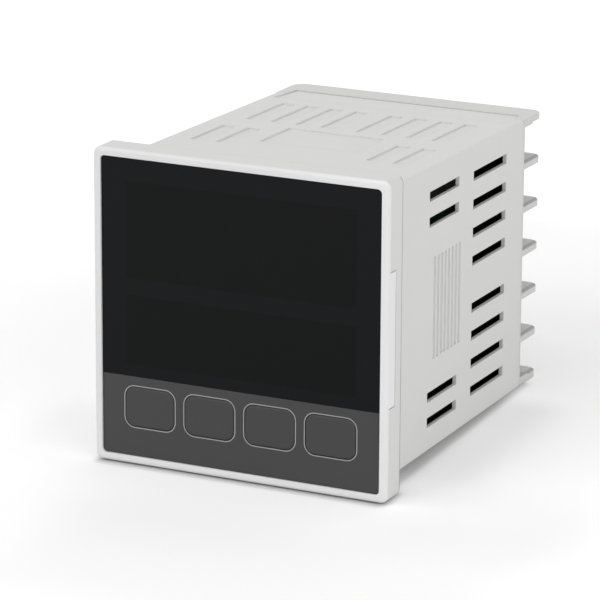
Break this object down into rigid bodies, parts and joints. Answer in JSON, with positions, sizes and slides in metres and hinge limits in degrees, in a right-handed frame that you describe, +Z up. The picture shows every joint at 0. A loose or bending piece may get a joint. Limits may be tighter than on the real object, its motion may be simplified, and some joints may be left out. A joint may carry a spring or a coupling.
{
  "type": "panel mount temperature controller",
  "caption": "Square panel-mount temperature controller: dark display window over a row of push keys, vented tapered case, screw terminal block at the rear",
  "frame": {"origin": "on the axis of the case, in the plane where the back of the flange meets the panel", "axes": "+Y from the face to the terminals, +Z up, +X to the right seen from the front"},
  "size_m": [0.048, 0.0623, 0.048],
  "materials": {
    "frame_plastic": "fine moulded satin",
    "case_plastic": "fine spark-eroded texture",
    "terminal_plastic": "moulded satin",
    "window_plastic": "smoked, smooth",
    "keypad_plastic": "fine matt film",
    "key_plastic": "fine matt",
    "switch_plastic": "moulded",
    "contact_brass": "tinned",
    "plated_steel": "nickel plated",
    "circuit_board": "solder mask",
    "black_plastic": "moulded",
    "display_glass": "polished",
    "light_guide": "milky",
    "ferrite": "sintered",
    "winding_copper": "taped winding",
    "capacitor_can": "sleeved",
    "varistor_ceramic": "dipped",
    "relay_plastic": "moulded"
  },
  "bodies": {
    "housing": {"front_frame": "frame_plastic", "display_window": "window_plastic", "keypad_panel": "keypad_plastic", "key_switch_bodies": "switch_plastic", "case": "case_plastic", "terminal_block": "terminal_plastic", "terminal_contacts": "contact_brass", "terminal_washers": "plated_steel", "terminal_screws": "plated_steel", "front_board": "circuit_board", "main_board": "circuit_board", "power_board": "circuit_board", "board_headers": "black_plastic", "lcd_glass": "display_glass", "backlight": "light_guide", "transformer_core": "ferrite", "transformer_winding": "winding_copper", "transformer_bobbin": "black_plastic", "capacitors": "capacitor_can", "varistor": "varistor_ceramic", "relays": "relay_plastic", "processor_chip": "black_plastic", "optocouplers": "black_plastic"},
    "key_1": {"key_1": "key_plastic", "switch_plunger_1": "switch_plastic"},
    "key_2": {"key_2": "key_plastic", "switch_plunger_2": "switch_plastic"},
    "key_3": {"key_3": "key_plastic", "switch_plunger_3": "switch_plastic"},
    "key_4": {"key_4": "key_plastic", "switch_plunger_4": "switch_plastic"}
  },
  "joints": [
    {"name": "key_1_press", "type": "slide", "parent": "housing", "child": "key_1", "axis": [0, 1, 0], "range_m": [0, 0.00035], "stiffness_N_per_m": 400, "springref_m": -0.001},
    {"name": "key_2_press", "type": "slide", "parent": "housing", "child": "key_2", "axis": [0, 1, 0], "range_m": [0, 0.00035], "stiffness_N_per_m": 400, "springref_m": -0.001},
    {"name": "key_3_press", "type": "slide", "parent": "housing", "child": "key_3", "axis": [0, 1, 0], "range_m": [0, 0.00035], "stiffness_N_per_m": 400, "springref_m": -0.001},
    {"name": "key_4_press", "type": "slide", "parent": "housing", "child": "key_4", "axis": [0, 1, 0], "range_m": [0, 0.00035], "stiffness_N_per_m": 400, "springref_m": -0.001}
  ]
}
